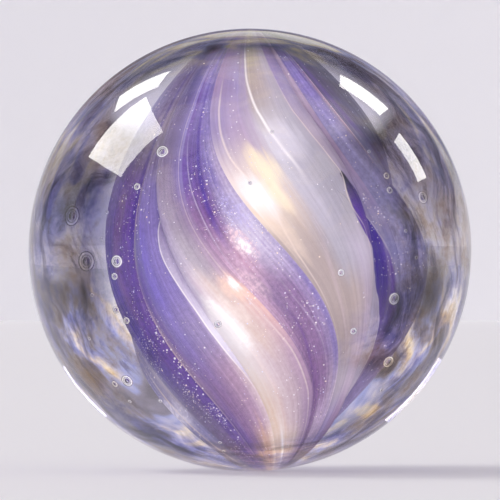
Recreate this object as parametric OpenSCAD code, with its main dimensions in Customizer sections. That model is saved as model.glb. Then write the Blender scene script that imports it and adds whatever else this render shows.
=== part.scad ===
// Handmade glass marble: a twisted core of coloured glass ribbons cased in clear glass.
// Origin at the ball's centre, +Z along the core towards its upper end, front at -Y.
// Lengths are in millimetres and angles in degrees. Azimuths run from the front (-Y)
// towards the right (+X). The ribbons' shares of the circle are measured at mid-height.

/* [Marble] */
// Diameter of the finished ball
marble_d = 25; // [22:0.5:40]
// Thickness of clear glass over each end of the core
end_cover = 0.2; // [0.1:0.05:0.6]

/* [Core] */
// Diameter of the core at mid-height, through the seams between its ribbons
core_d = 11; // [8:0.5:13]
// Diameter of the core where it pinches out at each end
tip_d = 0.8; // [0.5:0.1:1.5]
// Exponent of the narrowing towards the ends: 1.2 is blunt, 3 is needle-like
taper = 1.65; // [1.2:0.05:3]
// Sideways drift of the core's lower end, towards the right
drift = 1; // [0:0.1:1.5]

/* [Twist] */
// Turn of the ribbons between mid-height and the upper end
upper_turn_angle = 42; // [20:1:90]
// Turn of the ribbons between mid-height and the lower end
lower_turn_angle = 84; // [20:1:120]
// Gathering of the turn at mid-height: 20 is nearly even, 85 straightens both ends
turn_ease_angle = 80; // [20:5:85]

/* [Ribbon widths] */
// Azimuth of the seam where the ribbons are counted from, at mid-height
first_seam_angle = -67; // [-100:1:-40]
// Wandering of the seams from an even twist: 0 is machine-even, 1 is hand-twisted
unevenness = 1; // [0:0.1:1]
// Share of the circle taken by the lavender ribbon at the left
lavender_left_share = 25; // [20:1:30]
// Share of the pearl ribbon left of the front
pearl_left_share = 22; // [17:1:27]
// Share of the mauve ribbon in the valley at the front
mauve_front_share = 34; // [30:1:38]
// Share of the broad pearl ribbon at the front
pearl_front_share = 49; // [46:1:56]
// Share of the deep violet ribbon at the right
violet_right_share = 26; // [25:1:32]
// Share of the lavender ribbon that stands out at the right
lavender_right_share = 33; // [26:1:38]
// Share of the pearl ribbon at the back right
pearl_back_right_share = 48; // [36:1:52]
// Share of the mauve ribbon at the back
mauve_back_share = 30; // [24:1:34]
// Share of the pearl ribbon at the back left
pearl_back_left_share = 40; // [32:1:44]
// Share of the violet ribbon at the left
violet_left_share = 53; // [44:1:57]

/* [Ribbon relief] */
// Height of the pearl ribbons' crests over the seams
pearl_swell = 0.7; // [0.2:0.1:1.2]
// Depth of the mauve ribbons' troughs under the seams
mauve_dip = 0.4; // [0.2:0.1:1.2]
// Height of the left lavender ribbon's crest over the seams
lavender_swell = 0.3; // [0.1:0.1:1]
// Height of the right lavender ribbon's crest, which stands out of the core
veil_swell = 1; // [0.4:0.1:1.4]
// Depth of the right violet ribbon's trough under the seams
violet_dip = 0.6; // [0.2:0.1:1.2]
// Height of the left violet ribbon's crest over the seams
violet_swell = 0.2; // [0.1:0.1:0.8]
// Push of a leaning crest towards one seam: 1 is centred, 3 is hard against it
crest_lean = 2.2; // [1:0.1:3]

/* [Bubbles] */
// Diameter of the largest bubbles in the clear glass
large_bubble_d = 1.1; // [0.8:0.1:1.2]
// Diameter of the middling bubbles
medium_bubble_d = 0.7; // [0.5:0.05:0.75]
// Diameter of the small bubbles
small_bubble_d = 0.4; // [0.2:0.05:0.45]
// Depth of the bubbles' centres under the ball's surface
bubble_depth = 0.9; // [0.7:0.1:1.5]

/* [Hidden] */

pearl = [0.87, 0.85, 0.88];
mauve = [0.62, 0.46, 0.68];
violet = [0.31, 0.19, 0.6];
lavender = [0.58, 0.57, 0.82];
clear = [0.86, 0.88, 0.95, 0.3];

marble_r = marble_d / 2;
core_r = core_d / 2;
tip_r = tip_d / 2;
core_half_h = marble_r - end_cover;

// Each ribbon around the core: [share of the circle, crest height, crest lean, wander of its
// left-hand seam by the upper end, and by the lower end]. A lean above 0 pushes the crest
// towards the right-hand seam, and one below 0 towards the left-hand seam.
RIBBONS = [
    [lavender_left_share, lavender_swell, 0, 28, -28],
    [pearl_left_share, pearl_swell, -1, 14, -10],
    [mauve_front_share, -mauve_dip, 0, 8, 14],
    [pearl_front_share, pearl_swell, 1, -12, 2],
    [violet_right_share, -violet_dip, 0, 16, -36],
    [lavender_right_share, veil_swell, -1, -3, 9],
    [pearl_back_right_share, pearl_swell, 1, -14, 12],
    [mauve_back_share, -mauve_dip, 0, -6, 4],
    [pearl_back_left_share, pearl_swell, -1, 8, -8],
    [violet_left_share, violet_swell, 0, 12, -14]
];
full_turn = 360;

// Levels along the core, and the widest facet around it at mid-height
levels = 40;
facet_angle = 8;

// Bubbles as [azimuth, elevation] seen from the ball's centre
LARGE_BUBBLES = [[-49, -3], [-56, 9]];
MEDIUM_BUBBLES = [[-27, 27], [-38, -3], [-45, -37], [55, 14], [43, -13], [48, -31], [150, 20]];
SMALL_BUBBLES = [
    [-33, 17], [-39, -7], [-40, -16], [-37, -19], [-52, -38], [42, 20], [42, 16], [25, -6],
    [31, -22], [-9, -20], [110, -25], [135, 5], [-160, -15], [-125, 30], [-105, -10]
];

// Where one height of the core stands, with u running from -1 at the lower end to 1 at the upper
function radius_at(u) = tip_r + (core_r - tip_r) * pow(cos(90 * u), taper);
function centre_at(u) = drift * pow((1 - u) / 2, 2);
function turn_at(u) =
    (upper_turn_angle - lower_turn_angle) / 2
        * (cos(turn_ease_angle * u) - 1) / (1 - cos(turn_ease_angle))
    - (upper_turn_angle + lower_turn_angle) / 2 * sin(turn_ease_angle * u) / sin(turn_ease_angle);

// Seams at a height u, as azimuths before the twist. Each wanders between mid-height and
// half-way to an end, and keeps its last azimuth from there on.
function shares(k) = k == 0 ? 0 : shares(k - 1) + RIBBONS[k - 1][0];
function wander(ribbon, u) =
    let (upper = ribbon[3], lower = ribbon[4], a = 180 * max(-0.5, min(0.5, u)))
    unevenness * ((upper - lower) / 2 * sin(a) + (upper + lower) / 2 * (1 - cos(a)));
function seam_at(k, u) = k == len(RIBBONS) ? full_turn + seam_at(0, u)
    : first_seam_angle + full_turn * shares(k) / shares(len(RIBBONS)) + wander(RIBBONS[k], u);

// Height of a ribbon's surface over its seams, a share s of the way across
function leaned(s, lean) = lean > 0 ? pow(s, crest_lean)
    : lean < 0 ? 1 - pow(1 - s, crest_lean) : s;
function relief(ribbon, s) = ribbon[1] * sin(180 * leaned(s, ribbon[2]));

function facets(k) = max(2, round((seam_at(k + 1, 0) - seam_at(k, 0)) / facet_angle));

// Points across one ribbon at a height u, from its left seam to its right one
function across(k, u) = [
    for (i = [0 : facets(k)]) let (s = i / facets(k))
    core_point(u, (1 - s) * seam_at(k, u) + s * seam_at(k + 1, u), relief(RIBBONS[k], s))
];
function core_point(u, azimuth, height) =
    let (r = radius_at(u) * (1 + height / core_r), a = azimuth + turn_at(u))
    [centre_at(u) + r * sin(a), -r * cos(a), u * core_half_h];
function axis_point(u) = [centre_at(u), 0, u * core_half_h];
function level(j) = 2 * j / levels - 1;

// Two triangles of the patch between points a, b at one level and c, d above them, split from
// a to d or from b to c. A wall between ribbons is split alike on both sides, so they meet.
function patch(a, b, c, d) = [[a, d, b], [a, c, d]];
function patch_back(a, b, c, d) = [[a, c, b], [b, c, d]];

// One ribbon of glass: a sector of the core swept along it, closed along the axis
module ribbon(k) {
    n = facets(k) + 1;
    row = n + 1;
    sides = [
        for (j = [0 : levels - 1], i = [0 : n])
            let (next = (i + 1) % row, low = j * row, high = low + row)
            each i == n ? patch_back(low + i, low + next, high + i, high + next)
                : patch(low + i, low + next, high + i, high + next)
    ];
    top = levels * row;
    polyhedron(
        points = [
            for (j = [0 : levels])
                each concat([axis_point(level(j))], across(k, level(j)))
        ],
        faces = concat(
            sides,
            [for (i = [1 : n - 1]) [0, i, i + 1]],
            [for (i = [1 : n - 1]) [top, top + i + 1, top + i]]
        )
    );
}

// Points around the whole core at a height u
function around(u) = [
    for (k = [0 : len(RIBBONS) - 1]) let (points = across(k, u))
    for (i = [0 : facets(k) - 1]) points[i]
];

// The whole core, which the clear glass is gathered around
module core() {
    n = len(around(0));
    foot = n * (levels + 1);
    top = n * levels;
    polyhedron(
        points = concat(
            [for (j = [0 : levels]) each around(level(j))],
            [axis_point(-1), axis_point(1)]
        ),
        faces = concat(
            [
                for (j = [0 : levels - 1], i = [0 : n - 1])
                    let (next = (i + 1) % n, low = j * n, high = low + n)
                    each patch(low + i, low + next, high + i, high + next)
            ],
            [for (i = [0 : n - 1]) [foot, i, (i + 1) % n]],
            [for (i = [0 : n - 1]) [foot + 1, top + (i + 1) % n, top + i]]
        )
    );
}

module bubbles(places, d) {
    for (p = places)
        rotate([0, 0, p[0]]) rotate([-p[1], 0, 0])
            translate([0, bubble_depth - marble_r, 0]) sphere(d = d, $fn = 24);
}

module clear_casing() {
    color(clear) difference() {
        sphere(d = marble_d, $fn = 120);
        core();
        bubbles(LARGE_BUBBLES, large_bubble_d);
        bubbles(MEDIUM_BUBBLES, medium_bubble_d);
        bubbles(SMALL_BUBBLES, small_bubble_d);
    }
}

module lavender_ribbon_left() { color(lavender) ribbon(0); }
module pearl_ribbon_left() { color(pearl) ribbon(1); }
module mauve_ribbon_front() { color(mauve) ribbon(2); }
module pearl_ribbon_front() { color(pearl) ribbon(3); }
module violet_ribbon_right() { color(violet) ribbon(4); }
module lavender_ribbon_right() { color(lavender) ribbon(5); }
module pearl_ribbon_back_right() { color(pearl) ribbon(6); }
module mauve_ribbon_back() { color(mauve) ribbon(7); }
module pearl_ribbon_back_left() { color(pearl) ribbon(8); }
module violet_ribbon_left() { color(violet) ribbon(9); }

clear_casing();
lavender_ribbon_left();
pearl_ribbon_left();
mauve_ribbon_front();
pearl_ribbon_front();
violet_ribbon_right();
lavender_ribbon_right();
pearl_ribbon_back_right();
mauve_ribbon_back();
pearl_ribbon_back_left();
violet_ribbon_left();
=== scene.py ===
"""A handmade glass marble: a twisted core of coloured glass ribbons cased in clear glass.

Metres, in the row's frame: the origin is the ball's centre, +Z runs along the core towards its
upper end and the front is -Y. Azimuths are in degrees from the front towards the right (+X).
A height u runs from -1 at the core's lower end to 1 at its upper end, and s is the share of
the way across a ribbon, from its left-hand seam to its right-hand one.
"""
import math
import random

import bpy
import numpy as np
from mathutils import Matrix, Vector


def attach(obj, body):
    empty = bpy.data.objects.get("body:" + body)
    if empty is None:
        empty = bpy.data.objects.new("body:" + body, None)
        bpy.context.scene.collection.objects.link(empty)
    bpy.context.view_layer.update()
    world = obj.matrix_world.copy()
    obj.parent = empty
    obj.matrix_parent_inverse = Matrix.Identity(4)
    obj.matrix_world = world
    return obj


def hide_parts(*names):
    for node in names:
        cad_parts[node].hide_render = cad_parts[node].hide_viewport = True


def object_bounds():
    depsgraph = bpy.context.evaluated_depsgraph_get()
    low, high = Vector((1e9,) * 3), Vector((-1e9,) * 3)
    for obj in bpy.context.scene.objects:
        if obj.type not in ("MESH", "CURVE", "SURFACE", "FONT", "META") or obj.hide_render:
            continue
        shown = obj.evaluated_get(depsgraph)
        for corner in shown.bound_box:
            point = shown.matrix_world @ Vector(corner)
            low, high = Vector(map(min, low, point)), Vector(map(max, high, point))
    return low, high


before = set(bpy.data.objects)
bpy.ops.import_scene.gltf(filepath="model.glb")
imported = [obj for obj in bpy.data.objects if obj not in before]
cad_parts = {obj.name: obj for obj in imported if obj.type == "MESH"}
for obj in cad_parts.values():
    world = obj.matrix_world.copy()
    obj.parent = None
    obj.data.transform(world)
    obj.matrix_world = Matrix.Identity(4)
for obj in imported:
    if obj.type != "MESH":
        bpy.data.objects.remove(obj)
cad_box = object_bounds()

MM = 0.001
ROOT = "root"

# The core, as the part's source has it
MARBLE_R = cad_box[1].z
END_COVER = 0.2 * MM
CORE_R = 5.5 * MM
TIP_R = 0.4 * MM
TAPER = 1.65
DRIFT = 1 * MM
UPPER_TURN = 42
LOWER_TURN = 84
TURN_EASE = 80
FIRST_SEAM = -67
CREST_LEAN = 2.2
CORE_HALF_H = MARBLE_R - END_COVER

PEARL_SWELL = 0.7 * MM
MAUVE_DIP = -0.4 * MM

# node: [share of the circle, crest height, crest lean, wander of the left-hand seam by the
# upper end, and by the lower end]
RIBBONS = {
    "lavender_ribbon_left": [25, 0.3 * MM, 0, 28, -28],
    "pearl_ribbon_left": [22, PEARL_SWELL, -1, 14, -10],
    "mauve_ribbon_front": [34, MAUVE_DIP, 0, 8, 14],
    "pearl_ribbon_front": [49, PEARL_SWELL, 1, -12, 2],
    "violet_ribbon_right": [26, -0.6 * MM, 0, 16, -36],
    "lavender_ribbon_right": [33, 1 * MM, -1, -3, 9],
    "pearl_ribbon_back_right": [48, PEARL_SWELL, 1, -14, 12],
    "mauve_ribbon_back": [30, MAUVE_DIP, 0, -6, 4],
    "pearl_ribbon_back_left": [40, PEARL_SWELL, -1, 8, -8],
    "violet_ribbon_left": [53, 0.2 * MM, 0, 12, -14],
}
LEVELS = 360
COLUMNS_PER_DEGREE = 14 / 9

# Seeds, tiny bright bubbles on the ribbons, as (s, height, radius in mm); their white is a
# painted glint. Here and in the materials, a height runs from 0 at the core's lower end to 1 at
# its upper end. In the uvs of a seed, SEED_S stands for s, so that the material knows it.
SEED_S = 2
SEEDS = {
    "pearl_ribbon_front": [
        (0.5, 0.9, 0.03), (0.5, 0.885, 0.025), (0.48, 0.87, 0.03), (0.27, 0.86, 0.025),
        (0.3, 0.84, 0.03), (0.26, 0.82, 0.025), (0.25, 0.805, 0.03), (0.27, 0.79, 0.02),
        (0.24, 0.775, 0.03), (0.22, 0.76, 0.025), (0.25, 0.75, 0.03), (0.21, 0.74, 0.02),
        (0.26, 0.73, 0.03), (0.2, 0.72, 0.025), (0.25, 0.715, 0.02), (0.28, 0.7, 0.025),
        (0.62, 0.62, 0.03), (0.65, 0.615, 0.02), (0.7, 0.61, 0.025), (0.15, 0.7, 0.03),
    ],
    "pearl_ribbon_left": [
        (0.35, 0.25, 0.03), (0.45, 0.235, 0.03), (0.6, 0.24, 0.035), (0.7, 0.25, 0.025),
        (0.68, 0.225, 0.03), (0.55, 0.265, 0.03), (0.4, 0.215, 0.025), (0.55, 0.21, 0.03),
        (0.3, 0.24, 0.025), (0.65, 0.27, 0.02), (0.5, 0.55, 0.025), (0.4, 0.52, 0.03),
    ],
    "mauve_ribbon_front": [
        (0.75, 0.405, 0.04), (0.82, 0.4, 0.04), (0.7, 0.43, 0.03), (0.65, 0.3, 0.035),
        (0.5, 0.33, 0.03), (0.6, 0.36, 0.025),
    ],
    "lavender_ribbon_left": [
        (0.6, 0.65, 0.03), (0.62, 0.63, 0.025), (0.65, 0.61, 0.03), (0.66, 0.595, 0.025),
        (0.4, 0.57, 0.03), (0.5, 0.35, 0.03), (0.35, 0.33, 0.025), (0.3, 0.3, 0.03),
        (0.03, 0.37, 0.045), (0.05, 0.35, 0.035), (0.02, 0.33, 0.05), (0.06, 0.31, 0.03),
        (0.03, 0.295, 0.04), (0.08, 0.28, 0.03), (0.04, 0.26, 0.035),
    ],
    "violet_ribbon_left": [
        (0.94, 0.36, 0.05), (0.9, 0.35, 0.035), (0.97, 0.345, 0.04), (0.93, 0.33, 0.045),
        (0.96, 0.315, 0.055), (0.9, 0.31, 0.035), (0.94, 0.3, 0.045), (0.97, 0.285, 0.04),
        (0.91, 0.28, 0.04), (0.95, 0.265, 0.035), (0.88, 0.26, 0.03), (0.93, 0.25, 0.04),
        (0.86, 0.33, 0.03), (0.82, 0.29, 0.035), (0.8, 0.25, 0.03), (0.9, 0.225, 0.035),
        (0.86, 0.21, 0.03), (0.92, 0.2, 0.03), (0.84, 0.18, 0.03), (0.9, 0.165, 0.035),
        (0.7, 0.23, 0.025), (0.74, 0.2, 0.03), (0.95, 0.18, 0.025), (0.6, 0.26, 0.025),
    ],
}

# Bubbles in the clear glass as [azimuth, elevation], and their diameters
BUBBLE_DEPTH = 0.9 * MM
BUBBLES = [
    (1.1 * MM, [(-49, -3), (-56, 9)]),
    (0.7 * MM, [(-27, 27), (-38, -3), (-45, -37), (55, 14), (43, -13), (48, -31), (150, 20)]),
    (0.4 * MM, [
        (-33, 17), (-39, -7), (-40, -16), (-37, -19), (-52, -38), (42, 20), (42, 16), (25, -6),
        (31, -22), (-9, -20), (110, -25), (135, 5), (-160, -15), (-125, 30), (-105, -10),
    ]),
    (0.22 * MM, [
        (7, 33), (0, 18), (-62, 32), (-43, 3), (-42, 10), (-54, -24), (-50, -44), (-35, -44),
        (-17, -62), (-18, -67), (-48, -12), (46, 5), (50, -2), (38, 27), (-58, 20), (52, -40),
        (64, 24), (-66, -6), (170, -20), (120, 34), (-140, 12), (-90, 20), (90, 12),
    ]),
]


# --- the core's form ---------------------------------------------------------------------

def radius_at(u):
    return TIP_R + (CORE_R - TIP_R) * np.clip(np.cos(np.pi / 2 * u), 0, 1) ** TAPER


def centre_at(u):
    return DRIFT * ((1 - u) / 2) ** 2


def turn_at(u):
    ease = math.radians(TURN_EASE)
    return (
        (UPPER_TURN - LOWER_TURN) / 2 * (np.cos(ease * u) - 1) / (1 - math.cos(ease))
        - (UPPER_TURN + LOWER_TURN) / 2 * np.sin(ease * u) / math.sin(ease)
    )


def seams_at(u):
    """The azimuth of every ribbon's left-hand seam before the twist, and the first one again."""
    a = np.pi * np.clip(u, -0.5, 0.5)
    rows, azimuth = [], FIRST_SEAM
    for share, _, _, upper, lower in RIBBONS.values():
        rows.append(
            azimuth + (upper - lower) / 2 * np.sin(a) + (upper + lower) / 2 * (1 - np.cos(a))
        )
        azimuth += share
    rows.append(rows[0] + 360)
    return rows


def relief(crest, lean, s):
    if lean > 0:
        s = s ** CREST_LEAN
    elif lean < 0:
        s = 1 - (1 - s) ** CREST_LEAN
    return crest * np.sin(np.pi * s)


def core_points(u, azimuth, height):
    """Points on the core, with height over the seams."""
    r = radius_at(u) * (1 + height / CORE_R)
    a = np.radians(azimuth + turn_at(u))
    return np.stack([centre_at(u) + r * np.sin(a), -r * np.cos(a), u * CORE_HALF_H], axis=-1)


# --- meshes ------------------------------------------------------------------------------

def mesh_piece(name, points, faces, uvs=None, sharp=None):
    """A mesh object. uvs is one (u, v) for each point, for faces that don't wrap round."""
    mesh = bpy.data.meshes.new(name)
    mesh.from_pydata(np.asarray(points).tolist(), [], faces)
    if uvs is not None:
        loops = np.empty(len(mesh.loops), dtype=np.int32)
        mesh.loops.foreach_get("vertex_index", loops)
        layer = mesh.uv_layers.new(name="flow")
        layer.data.foreach_set("uv", np.asarray(uvs, dtype=np.float32)[loops].ravel())
    mesh.shade_smooth()
    if sharp is not None:
        mesh.set_sharp_from_angle(angle=math.radians(sharp))
    obj = bpy.data.objects.new(name, mesh)
    bpy.context.scene.collection.objects.link(obj)
    return obj


def smooth_random(rng, count, x):
    """A smooth random curve through count values, read at x from 0 to 1."""
    values = [rng.uniform(-1, 1) for _ in range(count + 3)]
    t = np.clip(x, 0, 1) * count
    i = np.minimum(t.astype(int), count - 1)
    f = t - i
    f = f * f * (3 - 2 * f)
    values = np.array(values)
    return values[i] * (1 - f) + values[i + 1] * f


def flow_ridges(index, s, u):
    """Fine ridges that run along a ribbon, as a height."""
    rng = random.Random(40 + index)
    bend = 0.04 * smooth_random(rng, 5, (u + 1) / 2)
    ridges = (
        0.035 * MM * smooth_random(rng, 9, s + bend * np.sin(np.pi * s))
        + 0.018 * MM * smooth_random(rng, 26, s + bend * np.sin(np.pi * s))
    )
    return ridges * np.sin(np.pi * s) ** 0.5


def ribbon_piece(index, node):
    """One ribbon: a sector of the core swept along it, closed along the axis."""
    share, crest, lean = RIBBONS[node][:3]
    columns = round(share * COLUMNS_PER_DEGREE)
    levels = np.linspace(-1, 1, LEVELS + 1)
    u, s = np.meshgrid(levels, np.linspace(0, 1, columns + 1), indexing="ij")
    seams = seams_at(u)
    azimuth = seams[index] * (1 - s) + seams[index + 1] * s
    outer = core_points(u, azimuth, relief(crest, lean, s) + flow_ridges(index, s, u))
    axis = np.stack([centre_at(levels), levels * 0, levels * CORE_HALF_H], axis=-1)
    points = np.concatenate([outer, axis[:, None, :]], axis=1).reshape(-1, 3)
    uvs = np.stack([s, (u + 1) / 2], axis=-1)
    axis_uvs = np.stack([levels * 0 + 0.5, (levels + 1) / 2], axis=-1)
    uvs = np.concatenate([uvs, axis_uvs[:, None, :]], axis=1).reshape(-1, 2)
    row = columns + 2
    faces = []
    for j in range(LEVELS):
        low, high = j * row, (j + 1) * row
        for i in range(row):
            k = (i + 1) % row
            faces.append((low + i, low + k, high + k, high + i))
    faces.append(tuple(reversed(range(row))))
    faces.append(tuple(LEVELS * row + i for i in range(row)))
    points, uvs = points.tolist(), uvs.tolist()
    for seed_s, height, radius in SEEDS.get(node, []):
        seed_u = np.array(2 * height - 1)
        seams = seams_at(seed_u)
        azimuth = seams[index] * (1 - seed_s) + seams[index + 1] * seed_s
        centre = core_points(seed_u, azimuth, relief(crest, lean, seed_s))
        seed_points, seed_faces = ball_mesh(radius * MM, 10, 6, centre)
        faces += [tuple(len(points) + i for i in face) for face in seed_faces]
        points += seed_points
        uvs += [(SEED_S, height)] * len(seed_points)
    return mesh_piece(node + "_glass", points, faces, uvs, sharp=50)


def ball_mesh(radius, segments, rings, centre=(0, 0, 0), inward=False):
    """Points and faces of a ball, as lists. inward turns its faces towards its own middle."""
    points = [(0, 0, -radius)]
    for j in range(1, rings):
        e = math.pi * (j / rings - 0.5)
        for i in range(segments):
            a = 2 * math.pi * i / segments
            points.append((
                radius * math.cos(e) * math.cos(a), radius * math.cos(e) * math.sin(a),
                radius * math.sin(e),
            ))
    points.append((0, 0, radius))
    last = len(points) - 1
    faces = [(0, 1 + (i + 1) % segments, 1 + i) for i in range(segments)]
    for j in range(rings - 2):
        low, high = 1 + j * segments, 1 + (j + 1) * segments
        for i in range(segments):
            k = (i + 1) % segments
            faces.append((low + i, low + k, high + k, high + i))
    low = 1 + (rings - 2) * segments
    faces += [(last, low + i, low + (i + 1) % segments) for i in range(segments)]
    if inward:
        faces = [tuple(reversed(f)) for f in faces]
    points = [tuple(Vector(p) + Vector(centre)) for p in points]
    return points, faces


def joined(parts):
    points, faces = [], []
    for p, f in parts:
        base = len(points)
        points += p
        faces += [tuple(base + i for i in face) for face in f]
    return points, faces


def on_ball(azimuth, elevation, radius):
    a, e = math.radians(azimuth), math.radians(elevation)
    return (
        radius * math.cos(e) * math.sin(a), -radius * math.cos(e) * math.cos(a),
        radius * math.sin(e),
    )


def casing_piece():
    """The clear glass: the ball with its bubbles."""
    parts = [ball_mesh(MARBLE_R, 256, 128)]
    for diameter, places in BUBBLES:
        for azimuth, elevation in places:
            centre = on_ball(azimuth, elevation, MARBLE_R - BUBBLE_DEPTH)
            parts.append(ball_mesh(diameter / 2, 32, 16, centre, inward=True))
    points, faces = joined(parts)
    return mesh_piece("clear_casing_glass", points, faces)


# --- materials ---------------------------------------------------------------------------

def linear(value):
    return value / 12.92 if value <= 0.04045 else ((value + 0.055) / 1.055) ** 2.4


def colour(red, green, blue):
    """A display colour from 0 to 255 as a linear one."""
    return (linear(red / 255), linear(green / 255), linear(blue / 255), 1)


class Nodes:
    """Short names for adding shader nodes to one material or world."""

    def __init__(self, owner, output="OutputMaterial"):
        owner.use_nodes = True
        self.owner = owner
        self.tree = owner.node_tree
        self.tree.nodes.clear()
        self.out = self.add(output)

    def add(self, kind, **settings):
        node = self.tree.nodes.new("ShaderNode" + kind)
        for key, value in settings.items():
            setattr(node, key, value)
        return node

    def link(self, source, socket):
        self.tree.links.new(source, socket)

    def feed(self, socket, value):
        if isinstance(value, bpy.types.NodeSocket):
            self.link(value, socket)
        else:
            socket.default_value = value

    def math(self, operation, a, b=0.0):
        node = self.add("Math", operation=operation)
        self.feed(node.inputs[0], a)
        self.feed(node.inputs[1], b)
        return node.outputs[0]

    def between(self, value, low, high):
        """0 at low, 1 at high, and smooth between them."""
        node = self.add("MapRange", interpolation_type="SMOOTHSTEP")
        self.feed(node.inputs["Value"], value)
        node.inputs["From Min"].default_value = low
        node.inputs["From Max"].default_value = high
        return node.outputs[0]

    def mix(self, factor, a, b, blend="MIX"):
        node = self.add("Mix", data_type="RGBA", blend_type=blend, clamp_factor=True)
        self.feed(node.inputs[0], factor)
        self.feed(node.inputs[6], a)
        self.feed(node.inputs[7], b)
        return node.outputs[2]

    def ramp(self, value, stops, interpolation="LINEAR"):
        node = self.add("ValToRGB")
        ramp = node.color_ramp
        ramp.interpolation = interpolation
        while len(ramp.elements) < len(stops):
            ramp.elements.new(0.5)
        for element, (place, shade) in zip(ramp.elements, sorted(stops, key=lambda x: x[0])):
            element.position = place
            element.color = shade
        self.feed(node.inputs[0], value)
        return node.outputs[0]

    def vector(self, x, y, z=0.0):
        node = self.add("CombineXYZ")
        self.feed(node.inputs[0], x)
        self.feed(node.inputs[1], y)
        self.feed(node.inputs[2], z)
        return node.outputs[0]

    def split(self, vector):
        node = self.add("SeparateXYZ")
        self.link(vector, node.inputs[0])
        return node.outputs

    def length(self, vector):
        node = self.add("VectorMath", operation="LENGTH")
        self.link(vector, node.inputs[0])
        return node.outputs["Value"]

    def noise(self, vector, scale=1.0, detail=2.0, roughness=0.5, distortion=0.0):
        node = self.add("TexNoise")
        self.link(vector, node.inputs["Vector"])
        node.inputs["Scale"].default_value = scale
        node.inputs["Detail"].default_value = detail
        node.inputs["Roughness"].default_value = roughness
        node.inputs["Distortion"].default_value = distortion
        return node.outputs["Fac"]


def stops(*pairs):
    """Places and their display colours, as stops of a ramp."""
    return [(place, colour(*shade)) for place, shade in pairs]


# The shades of glass in the ribbons, as display colours from 0 to 255
GLASS = {name: colour(*shade) for name, shade in {
    "white": (255, 250, 245), "milk": (245, 230, 220), "cream": (235, 215, 195),
    "shell": (220, 200, 190), "blush": (250, 220, 220), "peach": (230, 190, 180),
    "sand": (205, 170, 150), "petal": (205, 185, 190), "rose": (205, 170, 190),
    "old_rose": (175, 145, 170), "stone": (175, 160, 155), "earth": (120, 110, 110),
    "ochre": (180, 170, 140), "umber": (135, 115, 130), "fog": (180, 170, 180),
    "pearl": (190, 175, 190), "mist": (200, 190, 205), "snow": (210, 200, 220),
    "frost": (235, 230, 240), "bloom": (185, 165, 190), "pale_lilac": (195, 180, 205),
    "lilac": (155, 140, 180), "lavender": (135, 120, 180), "bluebell": (120, 105, 185),
    "sky": (200, 190, 240), "periwinkle": (150, 145, 180), "cornflower": (135, 130, 170),
    "slate": (120, 115, 155), "storm": (90, 85, 105), "heather": (150, 125, 160),
    "dust": (140, 125, 150), "dusk": (110, 95, 135), "shadow": (85, 75, 120),
    "mauve": (140, 110, 150), "damson": (130, 95, 145), "plum": (115, 80, 145),
    "grape": (95, 70, 145), "iris": (115, 90, 160), "orchid": (105, 70, 155),
    "indigo": (75, 50, 150), "violet": (55, 10, 150), "bright_violet": (75, 5, 150),
    "night": (20, 10, 40), "pewter": (170, 165, 175), "silver": (190, 185, 195),
    "platinum": (210, 205, 210), "ivory": (255, 240, 205), "apricot": (255, 220, 195),
}.items()}


def fields(*parts):
    """Fields of glass from the lower end up, as stops. Each part is a glass, and the height or
    the two heights between which it is pure."""
    return [(height, GLASS[name]) for name, *heights in parts for height in heights]
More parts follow.
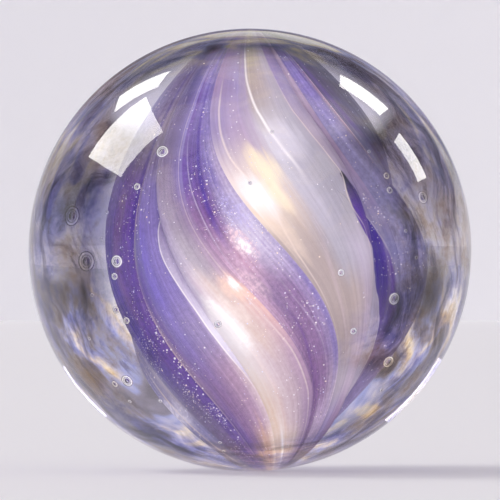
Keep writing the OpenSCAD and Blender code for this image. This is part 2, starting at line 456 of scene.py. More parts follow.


# Each ribbon's look. Its columns are fields of glass at shares s of the way across, and the
# glass between two columns is a blend. Patches cover what lies beyond a path (height, s), on
# its right for side 1 and its left for -1, with a soft edge of half-width soft in s. Lines
# follow a path (height, s, strength), with a half-width in s; the light lines along crests and
# edges are partly painted highlights. The glows are painted highlights: bright places as (s,
# height, half-widths in s and in height, glass, strength). Silk is the strength of its soft
# tones and of its light threads. Glitter is the share of flakes all over, whose glints are
# painted, and which also breaks up the painted highlights into fine grain, and flakes are
# places with more: (s, height, half-widths, share).
LOOKS = {
    "lavender_ribbon_left": {
        "columns": [
            (0, fields(
                ("mauve", 0.1), ("grape", 0.16), ("heather", 0.28, 0.36), ("iris", 0.44),
                ("slate", 0.5), ("heather", 0.57), ("dust", 0.7), ("dusk", 0.8, 0.9),
                ("shadow", 0.95))),
            (0.35, fields(
                ("sand", 0.1), ("mauve", 0.15, 0.22), ("lavender", 0.35), ("bluebell", 0.43, 0.5),
                ("lavender", 0.58), ("dust", 0.67), ("dusk", 0.8, 0.9), ("shadow", 0.95))),
            (0.75, fields(
                ("sand", 0.15), ("old_rose", 0.2, 0.27), ("lilac", 0.35), ("lavender", 0.44, 0.58),
                ("dust", 0.7), ("dusk", 0.8))),
            (1, fields(
                ("cream", 0.15), ("petal", 0.2, 0.28), ("pale_lilac", 0.35),
                ("lavender", 0.5, 0.6), ("dust", 0.7), ("dusk", 0.83))),
        ],
        "patches": [(1, 0.02, [
            (0.24, 1.06), (0.3, 0.93), (0.35, 0.9), (0.4, 0.89), (0.45, 0.84), (0.5, 0.79),
            (0.54, 0.87), (0.57, 1), (0.6, 1.1)],
            fields(("snow", 0.28), ("frost", 0.35), ("snow", 0.42), ("lilac", 0.55)))],
        "lines": [
            ([(0.24, 1, 0.2), (0.3, 0.93, 0.6), (0.35, 0.9, 0.9), (0.4, 0.89, 0.9),
              (0.45, 0.84, 0.9), (0.5, 0.79, 0.7), (0.54, 0.87, 0.6), (0.57, 1, 0.5)],
             0.022, "white"),
            ([(0.08, 0.5, 0.4), (0.12, 0.6, 0.8), (0.17, 0.72, 0.7), (0.22, 0.75, 0)],
             0.07, "sand"),
            ([(0.25, 0.02, 0.3), (0.35, 0.02, 0.6), (0.4, 0.02, 0.2), (0.48, 0.05, 0.2),
              (0.54, 0.08, 0.5), (0.58, 0.1, 0.6), (0.66, 0.06, 0.3)], 0.04, "shell"),
            ([(0.3, 0.2, 0.2), (0.36, 0.15, 0.5), (0.42, 0.14, 0.6), (0.48, 0.15, 0.2)],
             0.09, "indigo"),
        ],
        "painted_highlights": [], "silk": (0.24, 0.25), "glitter": 0.2,
        "flakes": [(0.03, 0.33, 0.14, 0.06, 1.0), (0.1, 0.57, 0.16, 0.05, 0.6)],
    },
    "pearl_ribbon_left": {
        "columns": [
            (0, fields(
                ("shell", 0.1), ("cream", 0.15, 0.2), ("white", 0.35), ("snow", 0.42),
                ("lilac", 0.55), ("dust", 0.63), ("dusk", 0.75, 0.8), ("dust", 0.9))),
            (0.5, fields(
                ("petal", 0.1), ("shell", 0.15), ("petal", 0.2, 0.28), ("shell", 0.35, 0.42),
                ("fog", 0.48), ("dust", 0.62), ("dusk", 0.7), ("shadow", 0.8),
                ("heather", 0.9))),
            (1, fields(
                ("heather", 0.1, 0.2), ("old_rose", 0.3), ("peach", 0.42), ("old_rose", 0.48),
                ("heather", 0.55), ("lavender", 0.64, 0.8), ("dust", 0.9))),
        ],
        "patches": [],
        "lines": [
            ([(0.54, -0.1, 0.4), (0.57, 0.02, 0.5), (0.6, 0.12, 0.6), (0.65, 0.13, 0.4),
              (0.7, 0.1, 0)], 0.03, "frost"),
            ([(0.07, 0.3, 0.3), (0.1, 0.25, 0.7), (0.13, 0.22, 0.9), (0.17, 0.2, 0.5),
              (0.22, 0.2, 0)], 0.06, "white"),
            ([(0.2, 0.92, 0.3), (0.27, 0.9, 0.5), (0.33, 0.9, 0.5), (0.38, 0.85, 0.3)],
             0.03, "milk"),
        ],
        "painted_highlights": [
            (0.22, 0.36, 0.17, 0.042, "white", 1.4),
            (0.8, 0.432, 0.18, 0.02, "apricot", 0.7),
            (0.84, 0.436, 0.07, 0.011, "white", 1.2),
            (0.5, 0.39, 0.16, 0.02, "milk", 0.6),
        ],
        "silk": (0.18, 0.35), "glitter": 0.15, "flakes": [(0.8, 0.43, 0.25, 0.03, 1.0)],
    },
    "mauve_ribbon_front": {
        "columns": [
            (0, fields(
                ("heather", 0.1), ("mauve", 0.2, 0.28), ("rose", 0.43), ("mauve", 0.56),
                ("iris", 0.63, 0.75), ("dust", 0.9))),
            (0.3, fields(
                ("umber", 0.1), ("mauve", 0.2), ("damson", 0.28), ("mauve", 0.36),
                ("heather", 0.42), ("rose", 0.48), ("plum", 0.58), ("grape", 0.65),
                ("lavender", 0.81), ("umber", 0.9))),
            (0.6, fields(
                ("umber", 0.1), ("bloom", 0.2), ("mauve", 0.27, 0.42), ("snow", 0.53),
                ("lilac", 0.59), ("lavender", 0.64, 0.78), ("umber", 0.9))),
            (1, fields(
                ("earth", 0.1), ("bloom", 0.2), ("pearl", 0.26), ("lilac", 0.34, 0.43),
                ("snow", 0.57), ("pale_lilac", 0.64), ("lavender", 0.75, 0.85),
                ("umber", 0.9))),
        ],
        "patches": [],
        "lines": [
            ([(0.45, 0.05, 0.2), (0.5, 0.08, 0.3), (0.55, 0.12, 0.5), (0.6, 0.12, 0.5),
              (0.66, 0.1, 0.4), (0.72, 0.06, 0)], 0.018, "snow"),
            ([(0.48, 0.2, 0), (0.52, 0.22, 0.3), (0.56, 0.27, 0.6), (0.6, 0.32, 0.8),
              (0.66, 0.36, 0.8), (0.72, 0.36, 0.6), (0.8, 0.34, 0.3)], 0.08, "indigo"),
            ([(0.14, 0.05, 0.5), (0.2, 0.08, 0.7), (0.27, 0.18, 0.7), (0.32, 0.3, 0.7),
              (0.37, 0.38, 0.6), (0.42, 0.3, 0)], 0.06, "plum"),
            ([(0.24, 0.9, 0.2), (0.3, 0.93, 0.5), (0.38, 0.95, 0.7), (0.45, 0.96, 0.7),
              (0.5, 0.97, 0.3)], 0.07, "lavender"),
            ([(0.3, 0.72, 0.2), (0.36, 0.7, 0.4), (0.42, 0.6, 0.3)], 0.03, "pale_lilac"),
        ],
        "painted_highlights": [
            (0.48, 0.512, 0.14, 0.024, "blush", 0.85),
            (0.46, 0.505, 0.08, 0.014, "white", 1.3),
            (0.15, 0.44, 0.16, 0.022, "blush", 0.45),
            (0.75, 0.575, 0.22, 0.03, "sky", 0.5),
        ],
        "silk": (0.26, 0.3), "glitter": 0.3,
        "flakes": [(0.55, 0.55, 0.5, 0.08, 1.0), (0.5, 0.42, 0.5, 0.05, 0.5)],
    },
    "pearl_ribbon_front": {
        "columns": [
            (0, fields(
                ("umber", 0.1), ("lilac", 0.2), ("fog", 0.28), ("stone", 0.36, 0.5),
                ("cream", 0.56), ("milk", 0.6), ("lilac", 0.73), ("heather", 0.8),
                ("plum", 0.93))),
            (0.3, fields(
                ("earth", 0.1), ("lilac", 0.2), ("fog", 0.28), ("stone", 0.36, 0.5),
                ("cream", 0.62), ("bloom", 0.72), ("lilac", 0.8), ("umber", 0.9))),
            (0.52, fields(
                ("earth", 0.08), ("heather", 0.2), ("pearl", 0.28), ("stone", 0.42),
                ("pewter", 0.49), ("silver", 0.64), ("platinum", 0.7), ("stone", 0.8),
                ("ochre", 0.9))),
            (0.76, fields(
                ("heather", 0.2), ("pearl", 0.28, 0.42), ("mist", 0.5), ("pewter", 0.58, 0.63),
                ("silver", 0.71), ("fog", 0.82))),
            (1, fields(
                ("earth", 0.08), ("heather", 0.2), ("fog", 0.3), ("mist", 0.5), ("fog", 0.62),
                ("pearl", 0.73), ("heather", 0.9))),
        ],
        "patches": [
            (1, 0.01, [
                (0.48, 1.08), (0.495, 0.98), (0.51, 0.89), (0.525, 0.84), (0.54, 0.81),
                (0.57, 0.795), (0.61, 0.825), (0.628, 0.85), (0.64, 0.88), (0.66, 1.08)],
                fields(("bright_violet", 0.57), ("night", 0.625))),
            (1, 0.015, [
                (0.57, 1.08), (0.595, 1), (0.615, 0.93), (0.636, 0.9), (0.66, 0.86),
                (0.7, 0.84), (0.75, 0.82), (0.8, 0.8), (0.88, 0.78)],
                fields(("lilac", 0.6), ("pearl", 0.66, 0.72), ("lilac", 0.81), ("mauve", 0.91))),
        ],
        "lines": [
            ([(0.63, 0.57, 0), (0.67, 0.55, 0.6), (0.71, 0.52, 1), (0.75, 0.49, 0.95),
              (0.8, 0.44, 0.65), (0.85, 0.42, 0.5), (0.9, 0.4, 0.2)], 0.024, "white"),
            ([(0.35, 0.04, 0.2), (0.42, 0.06, 0.3), (0.5, 0.1, 0.4), (0.55, 0.16, 0.5),
              (0.6, 0.2, 0.8), (0.65, 0.12, 0.8), (0.7, 0.09, 0.6), (0.76, 0.1, 0.5),
              (0.82, 0.1, 0)], 0.018, "milk"),
            ([(0.54, 0.845, 0.3), (0.575, 0.795, 0.5), (0.61, 0.82, 0.6), (0.636, 0.87, 0.7),
              (0.66, 0.86, 0.7), (0.7, 0.84, 0.6), (0.75, 0.82, 0.5), (0.85, 0.79, 0)],
             0.012, "milk"),
            ([(0.52, 0.92, 0), (0.56, 0.83, 0.6), (0.6, 0.77, 0.5), (0.615, 0.72, 0)],
             0.005, "storm"),
            ([(0.3, 0.3, 0.1), (0.4, 0.3, 0.3), (0.48, 0.36, 0.3), (0.56, 0.45, 0)],
             0.04, "petal"),
        ],
        "painted_highlights": [
            (0.13, 0.595, 0.09, 0.036, "white", 1.0),
            (0.29, 0.6, 0.07, 0.03, "ivory", 0.7),
            (0.31, 0.655, 0.1, 0.03, "ivory", 0.9),
            (0.6, 0.7, 0.12, 0.03, "frost", 0.4),
            (0.13, 0.53, 0.08, 0.05, "cream", 0.6),
        ],
        "silk": (0.12, 0.25), "glitter": 0.05, "flakes": [(0.3, 0.65, 0.16, 0.05, 0.5)],
    },
    "violet_ribbon_right": {
        "columns": [
            (0, fields(("mauve", 0.1, 0.28), ("indigo", 0.38), ("violet", 0.45, 0.6))),
            (0.6, fields(("mauve", 0.2, 0.29), ("orchid", 0.38), ("violet", 0.46, 0.6))),
            (1, fields(("heather", 0.2, 0.3), ("orchid", 0.46), ("slate", 0.6))),
        ],
        "patches": [
            (-1, 0.02, [
                (0.1, -0.1), (0.16, 0.12), (0.22, 0.4), (0.28, 0.68), (0.33, 0.78), (0.36, 0.74),
                (0.4, 0.62), (0.43, 0.48), (0.46, 0.31), (0.48, 0.16), (0.5, -0.02),
                (0.52, -0.1)], fields(("pearl", 0.3), ("mist", 0.45))),
            (1, 0.03, [
                (0.38, 1.08), (0.43, 0.95), (0.47, 0.89), (0.5, 0.84), (0.525, 0.75),
                (0.55, 0.62), (0.575, 0.42), (0.592, 0.18), (0.608, -0.1)],
                fields(("lilac", 0.36), ("cornflower", 0.45, 0.52), ("bloom", 0.68))),
        ],
        "lines": [
            ([(0.22, 0.4, 0.2), (0.28, 0.68, 0.4), (0.33, 0.78, 0.6), (0.36, 0.74, 0.7),
              (0.4, 0.62, 0.6), (0.43, 0.48, 0.5), (0.46, 0.31, 0.3)], 0.03, "frost"),
            ([(0.47, 0.9, 0), (0.5, 0.85, 0.4), (0.525, 0.76, 0.6), (0.55, 0.63, 0.7),
              (0.575, 0.43, 0.6), (0.592, 0.19, 0.2)], 0.03, "mist"),
            ([(0.2, 0.6, 0.4), (0.27, 0.7, 0.6), (0.33, 0.8, 0.2)], 0.06, "snow"),
            ([(0.45, 0.95, 0.2), (0.52, 0.85, 0.5), (0.58, 0.7, 0.3)], 0.05, "periwinkle"),
        ],
        "painted_highlights": [], "silk": (0.2, 0.3), "glitter": 0.1,
        "flakes": [(0.6, 0.26, 0.5, 0.06, 0.8), (0.8, 0.52, 0.3, 0.08, 0.5)],
    },
    "lavender_ribbon_right": {
        "columns": [
            (0, fields(
                ("dusk", 0.1), ("iris", 0.2), ("lilac", 0.35), ("cornflower", 0.42),
                ("periwinkle", 0.5, 0.7), ("lavender", 0.8), ("shadow", 0.92))),
            (0.5, fields(
                ("dusk", 0.1), ("iris", 0.2), ("periwinkle", 0.35), ("slate", 0.43),
                ("periwinkle", 0.5, 0.6), ("lilac", 0.7), ("lavender", 0.8), ("dusk", 0.91))),
            (1, fields(
                ("dusk", 0.1, 0.3), ("storm", 0.4), ("slate", 0.5, 0.6), ("old_rose", 0.76),
                ("iris", 0.84), ("dusk", 0.9))),
        ],
        "patches": [],
        "lines": [
            ([(0.26, 0.2, 0.2), (0.32, 0.2, 0.4), (0.37, 0.25, 0.7), (0.42, 0.45, 0.9),
              (0.46, 0.6, 0.8), (0.5, 0.62, 0)], 0.03, "frost"),
            ([(0.55, 0.8, 0.3), (0.6, 0.9, 0.6), (0.66, 0.96, 0.9), (0.72, 0.98, 0.9),
              (0.8, 0.98, 0.6), (0.9, 0.95, 0.3)], 0.035, "blush"),
            ([(0.72, 0.5, 0), (0.78, 0.4, 0.5), (0.84, 0.35, 0.8), (0.92, 0.3, 0.5)],
             0.13, "orchid"),
        ],
        "painted_highlights": [], "silk": (0.24, 0.25), "glitter": 0.3,
        "flakes": [(0.95, 0.68, 0.16, 0.09, 1.0)],
    },
    "pearl_ribbon_back_right": {
        "columns": [
            (0, fields(
                ("stone", 0.1), ("mist", 0.48), ("periwinkle", 0.62, 0.66), ("dusk", 0.73),
                ("shadow", 0.83))),
            (0.5, fields(("stone", 0.1), ("pearl", 0.35, 0.5), ("periwinkle", 0.62), ("storm", 0.7))),
            (1, fields(
                ("stone", 0.1), ("pearl", 0.4), ("fog", 0.6), ("storm", 0.78), ("earth", 0.92))),
        ],
        "patches": [],
        "lines": [([(0.6, 0.3, 0.2), (0.68, 0.2, 0.5), (0.75, 0.12, 0.6), (0.85, 0.12, 0.4)],
                   0.1, "iris")],
        "painted_highlights": [], "silk": (0.25, 0.3), "glitter": 0.15, "flakes": [],
    },
    "mauve_ribbon_back": {
        "columns": [
            (0, fields(("heather", 0.1), ("old_rose", 0.5), ("dust", 0.9))),
            (0.5, fields(
                ("umber", 0.1), ("mauve", 0.3), ("heather", 0.5), ("iris", 0.7), ("umber", 0.92))),
            (1, fields(("dust", 0.1), ("bloom", 0.5), ("lilac", 0.9))),
        ],
        "patches": [],
        "lines": [([(0.1, 0.3, 0.5), (0.5, 0.4, 0.7), (0.9, 0.3, 0.4)], 0.1, "grape")],
        "painted_highlights": [(0.55, 0.5, 0.35, 0.05, "frost", 0.7)],
        "silk": (0.3, 0.4), "glitter": 0.6, "flakes": [],
    },
    "pearl_ribbon_back_left": {
        "columns": [
            (0, fields(
                ("stone", 0.1), ("periwinkle", 0.2, 0.28), ("slate", 0.34), ("mist", 0.5),
                ("pearl", 0.75), ("dust", 0.92))),
            (0.5, fields(
                ("stone", 0.1), ("periwinkle", 0.2), ("slate", 0.34), ("mist", 0.5, 0.7),
                ("heather", 0.92))),
            (1, fields(
                ("dust", 0.1), ("cornflower", 0.2), ("fog", 0.28), ("slate", 0.36), ("iris", 0.5),
                ("lavender", 0.75), ("dust", 0.92))),
        ],
        "patches": [],
        "lines": [
            ([(0.2, 0.08, 0.4), (0.5, 0.06, 0.8), (0.8, 0.08, 0.4)], 0.02, "white"),
            ([(0.16, 0.5, 0.6), (0.26, 0.55, 0.8), (0.34, 0.6, 0)], 0.05, "cream"),
        ],
        "painted_highlights": [(0.3, 0.242, 0.5, 0.026, "frost", 0.9), (0.4, 0.6, 0.25, 0.06, "white", 0.7)],
        "silk": (0.18, 0.3), "glitter": 0.2, "flakes": [(0.6, 0.25, 0.4, 0.08, 0.6)],
    },
    "violet_ribbon_left": {
        "columns": [
            (0, fields(
                ("heather", 0.1), ("dusk", 0.2), ("slate", 0.28), ("indigo", 0.39, 0.5),
                ("slate", 0.68), ("dusk", 0.8), ("shadow", 0.93))),
            (0.5, fields(
                ("mauve", 0.1), ("dusk", 0.2), ("indigo", 0.36, 0.48), ("iris", 0.57),
                ("cornflower", 0.72), ("dusk", 0.8), ("shadow", 0.92))),
            (1, fields(
                ("mauve", 0.1), ("grape", 0.2), ("orchid", 0.34, 0.58), ("dust", 0.66),
                ("dusk", 0.8, 0.9), ("shadow", 0.96))),
        ],
        "patches": [],
        "lines": [
            ([(0.38, 0.75, 0.2), (0.44, 0.7, 0.5), (0.5, 0.72, 0.6), (0.58, 0.8, 0.5),
              (0.64, 0.8, 0)], 0.12, "damson"),
            ([(0.36, 0.8, 0.3), (0.42, 0.9, 0.4), (0.5, 0.96, 0.7), (0.56, 0.97, 0.7),
              (0.62, 0.98, 0.5)], 0.06, "indigo"),
            ([(0.12, 0.7, 0.5), (0.2, 0.72, 0.6), (0.3, 0.8, 0.4), (0.36, 0.9, 0)],
             0.1, "grape"),
        ],
        "painted_highlights": [], "silk": (0.26, 0.24), "glitter": 0.5,
        "flakes": [(0.75, 0.28, 0.5, 0.13, 1.6)],
    },
}
THREAD = colour(236, 224, 240)
# Painted glint: the white of the seeds, tiny bubbles that catch the light
SEED = colour(252, 248, 250)

# Dark, middle and light tones that are laid over a shade
SILK = [(0.3, (0.12, 0.1, 0.16, 1)), (0.5, (0.5, 0.5, 0.5, 1)), (0.7, (0.9, 0.89, 0.9, 1))]

# Flakes in two sizes, as (cells to a metre, share of them that is lit at full glitter). The flakes
# are real, and their near-white colours are painted glints.
FLAKES = [(9000, 0.07), (17000, 0.2)]
# Painted glints: the near-white colours that bright flakes take
FLAKE_GLINT_COLOURS = stops((0, (255, 232, 200)), (0.5, (255, 252, 248)), (1, (214, 214, 255)))

# Grain of the glass that holds glitter: its fineness, its tones and its gaps in the glows, the
# painted highlights
GRAIN_SCALE = 5500
GRAIN_TONES = 0.3
GRAIN_GAPS = 0.85

SATIN_ROUGHNESS = 0.38
SATIN_BUMP = 0.08 * MM


def path_ramp(n, height, points):
    """The s of a path at a height, and the value that goes with it."""
    made = [(h, ((s + 0.5) / 2, rest[0] if rest else 0, 0, 1)) for h, s, *rest in points]
    split = n.add("SeparateColor")
    n.link(n.ramp(height, made, "CARDINAL"), split.inputs[0])
    s = n.math("SUBTRACT", n.math("MULTIPLY", split.outputs[0], 2), 0.5)
    return s, split.outputs[1]


def near_place(n, s, height, place):
    """1 at a place on a ribbon, fading to 0 round it."""
    place_s, place_h, half_s, half_h = place
    ds = n.math("DIVIDE", n.math("SUBTRACT", s, place_s), half_s)
    dh = n.math("DIVIDE", n.math("SUBTRACT", height, place_h), half_h)
    far = n.math("ADD", n.math("MULTIPLY", ds, ds), n.math("MULTIPLY", dh, dh))
    return n.between(far, 2.2, 0)


def ribbon_material(index, node):
    """Satin coloured glass with threads that follow the ribbon, soft glows that are painted
    highlights, and bright flakes with painted glints.
    """
    look = LOOKS[node]
    share = RIBBONS[node][0]
    n = Nodes(bpy.data.materials.new(node + "_satin"))
    s, height, _ = n.split(n.add("UVMap", uv_map="flow").outputs[0])

    # threads: noise drawn out along the ribbon
    wide = share / 25
    slow = n.noise(n.vector(n.math("MULTIPLY", s, 3 * wide), n.math("MULTIPLY", height, 3),
                            index * 3.7), detail=3)
    bent = n.math("ADD", s, n.math("MULTIPLY", n.math("SUBTRACT", slow, 0.5), 0.16))
    fine = n.noise(n.vector(n.math("MULTIPLY", bent, 18 * wide), n.math("MULTIPLY", height, 3.2),
                            index * 5.1 + 1), detail=5, roughness=0.6)
    hair = n.noise(n.vector(n.math("MULTIPLY", bent, 15 * wide), n.math("MULTIPLY", height, 3.5),
                            index * 4.3 + 7), detail=1)
    broad = n.noise(n.vector(n.math("MULTIPLY", bent, 7 * wide), n.math("MULTIPLY", height, 2.2),
                             index * 2.3 + 2), detail=4, roughness=0.55)

    # fields of glass, with borders that waver
    shifted = n.math("ADD", height, n.math("MULTIPLY", n.math("SUBTRACT", broad, 0.5), 0.05))
    across = n.math("ADD", s, n.math("MULTIPLY", n.math("SUBTRACT", broad, 0.5), 0.2))
    columns = look["columns"]
    shade = n.ramp(shifted, columns[0][1], "EASE")
    for (before, _), (place, shades) in zip(columns, columns[1:]):
        shade = n.mix(n.between(across, before, place), shade, n.ramp(shifted, shades, "EASE"))

    for side, soft, path, shades in look["patches"]:
        edge, _ = path_ramp(n, height, path)
        beyond = n.between(n.math("MULTIPLY", n.math("SUBTRACT", s, edge), side), -soft, soft)
        shade = n.mix(beyond, shade, n.ramp(height, shades))

    # soft tones and light threads
    tone, thread = look["silk"]
    shade = n.mix(tone, shade, n.ramp(fine, SILK), "OVERLAY")
    off_hair = n.math("ABSOLUTE", n.math("SUBTRACT", hair, 0.5))
    breaks = n.between(n.noise(n.vector(n.math("MULTIPLY", s, 9 * wide),
                                        n.math("MULTIPLY", height, 14), index + 3)), 0.5, 0.66)
    hairs = n.math("MULTIPLY", n.between(off_hair, 0.012, 0), n.math("MULTIPLY", breaks, thread))
    shade = n.mix(hairs, shade, THREAD)

    # lines of colour; the light ones along crests and edges are partly painted highlights
    for path, half, glass in look["lines"]:
        middle, strength = path_ramp(n, height, path)
        off = n.math("ABSOLUTE", n.math("SUBTRACT", s, middle))
        drawn = n.math("MULTIPLY", n.between(off, half, 0), strength)
        shade = n.mix(drawn, shade, GLASS[glass])

    # a glow, a painted highlight, is smooth on plain glass, and broken into fine grain where the
    # glass holds glitter
    spot = n.add("TexCoord").outputs["Object"]
    foil = min(1, 2.5 * look["glitter"])
    grain = n.noise(spot, scale=GRAIN_SCALE, detail=3, roughness=0.6)
    shade = n.mix(GRAIN_TONES * foil, shade, n.ramp(grain, SILK), "OVERLAY")
    gaps = n.math("MULTIPLY", n.between(grain, 0.62, 0.42), GRAIN_GAPS * foil)
    for *place, glass, strength in look["painted_highlights"]:
        near = n.math("MULTIPLY", near_place(n, across, shifted, place), strength)
        drawn = n.math("MULTIPLY", near, n.math("SUBTRACT", 1, gaps))
        shade = n.mix(drawn, shade, GLASS[glass])

    # flakes: small cells, of which few are bright with a painted glint
    amount = look["glitter"]
    for *place, extra in look["flakes"]:
        amount = n.math("ADD", n.math("MULTIPLY", near_place(n, s, height, place), extra), amount)
    patchy = n.between(n.noise(spot, scale=900, detail=3), 0.4, 0.64)
    amount = n.math("MULTIPLY", patchy, amount)
    flake = None
    for scale, share_lit in FLAKES:
        cells = n.add("TexVoronoi")
        n.link(spot, cells.inputs["Vector"])
        cells.inputs["Scale"].default_value = scale
        cell = n.add("SeparateColor")
        n.link(cells.outputs["Color"], cell.inputs[0])
        close = n.between(cells.outputs["Distance"], 0.45, 0.25)
        few = n.math("SUBTRACT", 1, n.math("MULTIPLY", amount, share_lit))
        lit = n.math("MULTIPLY", n.math("GREATER_THAN", cell.outputs[0], few), close)
        shade = n.mix(lit, shade, n.ramp(cell.outputs[1], FLAKE_GLINT_COLOURS))
        flake = lit if flake is None else n.math("MAXIMUM", flake, lit)
    # the seeds, in the white of a painted glint
    shade = n.mix(n.math("GREATER_THAN", s, (1 + SEED_S) / 2), shade, SEED)

    bump = n.add("Bump")
    bump.inputs["Strength"].default_value = 0.3
    bump.inputs["Distance"].default_value = SATIN_BUMP
    n.link(n.math("ADD", fine, n.math("MULTIPLY", flake, 0.4)), bump.inputs["Height"])

    satin = n.add("BsdfPrincipled")
    n.link(shade, satin.inputs["Base Color"])
    satin.inputs["Roughness"].default_value = SATIN_ROUGHNESS
    satin.inputs["Specular IOR Level"].default_value = 0.2
    n.link(bump.outputs[0], satin.inputs["Normal"])
    n.link(satin.outputs[0], n.out.inputs["Surface"])
    return n.owner


# The clear glass has a faint violet tinge. Smoky streaks and patches of colour show in it at a
# slant, where the eye looks through the most glass; they are partly a smoky tint and partly a
# painted reflection of the room's dark and light patches seen through the ball.
CLEAR = colour(252, 251, 255)
GLASS_TINGE = colour(226, 222, 240)
GLASS_DENSITY = 30
SMOKE_AND_PAINTED_ROOM_SHADES = stops(
    (0.34, (44, 40, 50)), (0.4, (104, 98, 112)), (0.45, (156, 150, 168)),
    (0.5, (216, 212, 222)), (0.55, (250, 248, 254)), (0.6, (255, 255, 255)),
    (0.66, (160, 150, 158)))
SMOKE_AND_PAINTED_ROOM_TINTS = stops(
    (0.34, (92, 88, 104)), (0.4, (132, 136, 202)), (0.45, (196, 196, 238)),
    (0.5, (255, 252, 255)), (0.55, (255, 242, 212)), (0.61, (214, 182, 136)),
    (0.67, (132, 112, 104)))

# Larger clouds in the smoke, at places on the ball of radius 1: (place, radius, colour). They are
# partly a smoky tint and partly painted reflections of the room's dark and light patches.
SMOKE_AND_PAINTED_ROOM_CLOUDS = [
    ((-0.76, -0.58, 0.27), 0.2, (84, 78, 92)),
    ((-0.74, -0.66, -0.12), 0.26, (116, 106, 112)),
    ((-0.62, -0.77, 0.16), 0.18, (112, 122, 216)),
    ((-0.87, -0.45, 0.2), 0.12, (150, 156, 232)),
    ((0.8, -0.56, -0.16), 0.24, (90, 86, 94)),
    ((0.55, -0.62, 0.56), 0.3, (122, 124, 130)),
    ((0.88, -0.46, 0.12), 0.14, (160, 164, 228)),
    ((-0.4, -0.62, 0.67), 0.3, (100, 94, 140)),
    ((-0.34, -0.38, 0.86), 0.3, (108, 102, 130)),
    ((0.36, -0.38, 0.85), 0.34, (104, 98, 112)),
    ((-0.7, -0.42, -0.57), 0.12, (220, 172, 100)),
    ((0.52, -0.42, -0.74), 0.16, (220, 186, 120)),
    ((0.4, -0.62, -0.68), 0.26, (96, 98, 152)),
]

# Painted shade: how much the smoke in the upper half is darkened, for the shaded floor that the top
# of the ball shows
UPPER_PAINTED_SHADE = colour(118, 110, 124)

# The ball's own surface lies outside this radius, and the walls of its bubbles within it
UNDER_SURFACE = 0.98 * MARBLE_R

# The share of a lamp's light that the ball lets straight through, to the core and the floor
SHADE = 0.5


def clear_glass():
    """Clear glass that lamps and scattered light pass through unbent, to reach the core."""
    n = Nodes(bpy.data.materials.new("clear_glass"))
    glass = n.add("BsdfPrincipled")
    glass.inputs["Roughness"].default_value = 0
    glass.inputs["IOR"].default_value = 1.5
    path = n.add("LightPath")
    scattered = n.math("GREATER_THAN", path.outputs["Is Glossy Ray"],
                       path.outputs["Is Singular Ray"])
    scattered = n.math("MAXIMUM", path.outputs["Is Diffuse Ray"], scattered)
    unbent = n.add("BsdfTransparent")
    inner = n.add("MixShader")
    n.link(scattered, inner.inputs[0])
    n.link(glass.outputs[0], inner.inputs[1])
    n.link(unbent.outputs[0], inner.inputs[2])
    shaded = n.add("BsdfTransparent")
    shaded.inputs[0].default_value = (SHADE, SHADE, SHADE, 1)
    outer = n.add("MixShader")
    n.link(path.outputs["Is Shadow Ray"], outer.inputs[0])
    n.link(inner.outputs[0], outer.inputs[1])
    n.link(shaded.outputs[0], outer.inputs[2])
    n.link(outer.outputs[0], n.out.inputs["Surface"])
    place = n.add("TexCoord").outputs["Object"]
    # the base colour holds the smoke, with painted reflections of the room and painted shade
    n.link(smoke_and_painted_room(n, place), glass.inputs["Base Color"])
    # the bubble walls carry a painted highlight ring
    n.link(n.math("SUBTRACT", 1, painted_bubble_rings(n, place)), glass.inputs["Transmission Weight"])
    tinge = n.add("VolumeAbsorption")
    tinge.inputs["Color"].default_value = GLASS_TINGE
    tinge.inputs["Density"].default_value = GLASS_DENSITY
    n.link(tinge.outputs[0], n.out.inputs["Volume"])
    return n.owner


def smoke_and_painted_room(n, place):
    """Smoky streaks and clouds that circle the front of the ball, partly a smoky tint and partly
    painted reflections of the room, with painted shade in the upper half, shown where it is seen at a
    slant.
    """
    x, y, z = n.split(place)
    off_axis = n.math("SQRT", n.math("ADD", n.math("MULTIPLY", x, x), n.math("MULTIPLY", z, z)))
    from_front = n.math("ARCTAN2", off_axis, n.math("MULTIPLY", y, -1))
    swirl = n.noise(place, scale=110, detail=2)
    rings = n.math("ADD", n.math("MULTIPLY", from_front, 6), n.math("MULTIPLY", swirl, 6))
    round_front = n.vector(n.math("MULTIPLY", n.math("DIVIDE", x, off_axis), 1.5),
                           n.math("MULTIPLY", n.math("DIVIDE", z, off_axis), 1.5), rings)
    value = n.noise(round_front, scale=1.2, detail=8, roughness=0.68)
    tint = n.noise(place, scale=240, detail=5, roughness=0.66)
    shade = n.mix(1, n.ramp(value, SMOKE_AND_PAINTED_ROOM_SHADES), n.ramp(tint, SMOKE_AND_PAINTED_ROOM_TINTS), "MULTIPLY")
    # painted shade: the smoke is darker in the upper half
    upper = n.between(z, -0.25 * MARBLE_R, 0.4 * MARBLE_R)
    shade = n.mix(upper, shade, n.mix(1, shade, UPPER_PAINTED_SHADE, "MULTIPLY"))
    # clouds: partly a smoky tint, partly painted reflections of the room
    for centre, radius, cloud in SMOKE_AND_PAINTED_ROOM_CLOUDS:
        far = n.add("VectorMath", operation="DISTANCE")
        n.link(place, far.inputs[0])
        far.inputs[1].default_value = Vector(centre) * MARBLE_R
        frayed = n.math("ADD", far.outputs["Value"], n.math("MULTIPLY", swirl, 0.3 * MARBLE_R))
        near = n.between(frayed, (radius + 0.2) * MARBLE_R, (0.4 * radius + 0.1) * MARBLE_R)
        shade = n.mix(near, shade, n.mix(1, shade, colour(*cloud), "MULTIPLY"))
    ends = n.between(n.math("ABSOLUTE", z), 0.45 * MARBLE_R, 0.65 * MARBLE_R)
    turned = n.math("SUBTRACT", n.add("LayerWeight").outputs["Facing"],
                    n.math("MULTIPLY", ends, 0.3))
    slant = n.between(turned, 0.1, 0.32)
    outside = n.math("GREATER_THAN", n.length(place), UNDER_SURFACE)
    return n.mix(n.math("MULTIPLY", slant, outside), CLEAR, shade)


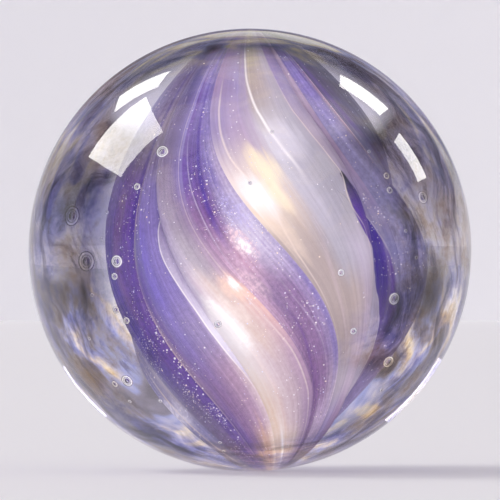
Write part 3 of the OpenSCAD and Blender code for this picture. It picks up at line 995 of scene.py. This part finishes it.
def painted_bubble_rings(n, place):
    """A painted highlight: the pale ring that a bubble's wall shows round its clear middle, inside
    its dark rim.
    """
    inside = n.math("LESS_THAN", n.length(place), UNDER_SURFACE)
    turned = n.add("LayerWeight").outputs["Facing"]
    ring = n.math("MULTIPLY", n.between(turned, 0.16, 0.36), n.between(turned, 0.64, 0.5))
    return n.math("MULTIPLY", n.math("MULTIPLY", ring, inside), 0.9)


def plain_material(name, shade, roughness):
    n = Nodes(bpy.data.materials.new(name))
    paint = n.add("BsdfPrincipled")
    paint.inputs["Base Color"].default_value = shade
    paint.inputs["Roughness"].default_value = roughness
    paint.inputs["Specular IOR Level"].default_value = 0.2
    n.link(paint.outputs[0], n.out.inputs["Surface"])
    return n.owner


# --- the marble --------------------------------------------------------------------------

ribbons = []
for index, node in enumerate(RIBBONS):
    piece = ribbon_piece(index, node)
    piece.data.materials.append(ribbon_material(index, node))
    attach(piece, ROOT)
    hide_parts(node)
    node.split("_")[0] + "_glass"
    ribbons.append(piece)

casing = casing_piece()
casing.data.materials.append(clear_glass())
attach(casing, ROOT)
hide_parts("clear_casing")


# --- the studio --------------------------------------------------------------------------

STAGE_R = 0.85
WALL_H = 0.066
STAGE_SEGMENTS = 96


def stage_pieces():
    """A round pale floor with a low wall round it."""
    steps = range(STAGE_SEGMENTS)
    angles = [2 * math.pi * i / STAGE_SEGMENTS for i in steps]
    ring = [(math.cos(a), math.sin(a)) for a in angles]
    z = -MARBLE_R
    inner = [(STAGE_R * x, STAGE_R * y, z) for x, y in ring]
    upper = [(STAGE_R * x, STAGE_R * y, z + WALL_H) for x, y in ring]
    floor = mesh_piece("floor", inner, [tuple(steps)])
    nexts = [(i + 1) % STAGE_SEGMENTS for i in steps]
    wall = mesh_piece("backdrop", inner + upper, [
        (k, i, STAGE_SEGMENTS + i, STAGE_SEGMENTS + k) for i, k in zip(steps, nexts)
    ])
    return floor, wall


floor, wall = stage_pieces()
floor.data.materials.append(plain_material("pale_floor", colour(230, 230, 233), 0.7))
wall.data.materials.append(plain_material("pale_wall", colour(250, 250, 253), 0.7))
for piece in (floor, wall):
    piece.visible_shadow = False

LAMP_DISTANCE = 3.2
LAMP_COLOUR = (1, 0.985, 0.93)

# The patches of the room round the studio, and the share of them that shows low down
ROOM_SHADES = stops(
    (0.36, (112, 106, 110)), (0.43, (138, 132, 140)), (0.48, (156, 160, 194)),
    (0.53, (194, 190, 204)), (0.57, (238, 224, 196)), (0.63, (255, 252, 246)))
LOW_ROOM = 0.55


def softbox(name, towards, along, length, width, radiance, only=None, hidden=()):
    """A flat lamp in direction towards, with its long side near along. Sizes are for a
    distance of 1, and radiance is what its face shows. It lights only some pieces, and is
    hidden from some kinds of ray."""
    towards = Vector(towards).normalized()
    along = Vector(along)
    along = (along - towards * along.dot(towards)).normalized()
    lamp = bpy.data.lights.new(name, "AREA")
    lamp.shape = "RECTANGLE"
    lamp.size = length * LAMP_DISTANCE
    lamp.size_y = width * LAMP_DISTANCE
    lamp.energy = radiance * math.pi * lamp.size * lamp.size_y
    lamp.color = LAMP_COLOUR
    obj = bpy.data.objects.new(name, lamp)
    side = towards.cross(along)
    obj.matrix_world = Matrix.Translation(towards * LAMP_DISTANCE) @ Matrix(
        (along, side, towards)).transposed().to_4x4()
    for kind in ("camera", *hidden):
        setattr(obj, "visible_" + kind, False)
    bpy.context.scene.collection.objects.link(obj)
    if only is not None:
        reach = bpy.data.collections.new(name + "_reach")
        for piece in only:
            reach.objects.link(piece)
        obj.light_linking.receiver_collection = reach


softbox("key_window", (-0.77, 0.06, 0.66), (0, 1, 0), 0.48, 0.38, 7.5, hidden=["glossy"])
softbox("right_glow", (0.77, 0.06, 0.66), (0, 1, 0), 0.3, 0.3, 8, hidden=["glossy", "diffuse"])
mirrored = {"hidden": ["diffuse", "transmission"]}
softbox("window_shine", (-0.735, 0.13, 0.667), (0, 1, 0.06), 0.55, 0.44, 10, **mirrored)
softbox("key_strip", (-0.48, 0.52, 0.70), (0.2, 0, 0.8), 0.26, 0.18, 8, **mirrored)
softbox("right_window", (0.51, 0.48, 0.70), (0.7, 0, -0.6), 0.25, 0.2, 8.5, **mirrored)
softbox("right_strip", (0.80, 0.38, 0.46), (0.3, 0, -0.9), 0.25, 0.16, 9, **mirrored)
fill = {"only": [*ribbons, casing], "hidden": ["glossy", "transmission"]}
softbox("front_fill", (0.2, -1, 0.15), (1, 0, 0), 0.9, 0.7, 5.3, **fill)
softbox("low_fill", (0.1, -1, -0.6), (1, 0, 0), 0.9, 0.5, 5.7, **fill)
softbox("back_fill", (0.1, 1, 0.1), (1, 0, 0), 0.9, 0.9, 7, **fill)


def studio_world():
    """A room of soft grey, lavender and cream patches, darker low down, above a pale band that
    carries on the floor and its wall."""
    n = Nodes(bpy.data.worlds.new("studio"), "OutputWorld")
    bpy.context.scene.world = n.owner
    direction = n.add("TexCoord").outputs["Generated"]
    height = n.split(direction)[2]
    room = n.ramp(n.noise(direction, scale=3.2, detail=3, distortion=0.6), ROOM_SHADES)
    lit = n.math("ADD", n.math("MULTIPLY", n.between(height, 0.1, 0.3), 1 - LOW_ROOM), LOW_ROOM)
    room = n.mix(lit, colour(64, 58, 66), room)
    background = n.add("Background")
    n.link(n.mix(n.between(height, 0.06, 0.16), colour(188, 187, 194), room), background.inputs[0])
    background.inputs["Strength"].default_value = 1.4
    n.link(background.outputs[0], n.out.inputs["Surface"])


studio_world()

# --- the camera --------------------------------------------------------------------------

# The camera's distance, and the share of the picture's width that the ball takes up
CAMERA_DISTANCE = 0.4
BALL_SHARE = 0.886

camera = bpy.data.cameras.new("camera")
edge_slope = MARBLE_R / math.sqrt(CAMERA_DISTANCE ** 2 - MARBLE_R ** 2)
camera.lens = camera.sensor_width / 2 * BALL_SHARE / edge_slope
camera.clip_start, camera.clip_end = 0.01, 5
camera_object = bpy.data.objects.new("camera", camera)
camera_object.location = (0, -CAMERA_DISTANCE, 0)
camera_object.rotation_euler = (math.radians(90), 0, 0)
bpy.context.scene.collection.objects.link(camera_object)
bpy.context.scene.camera = camera_object
bpy.context.scene.view_settings.view_transform = "Standard"
bpy.context.scene.cycles.transparent_max_bounces = 24
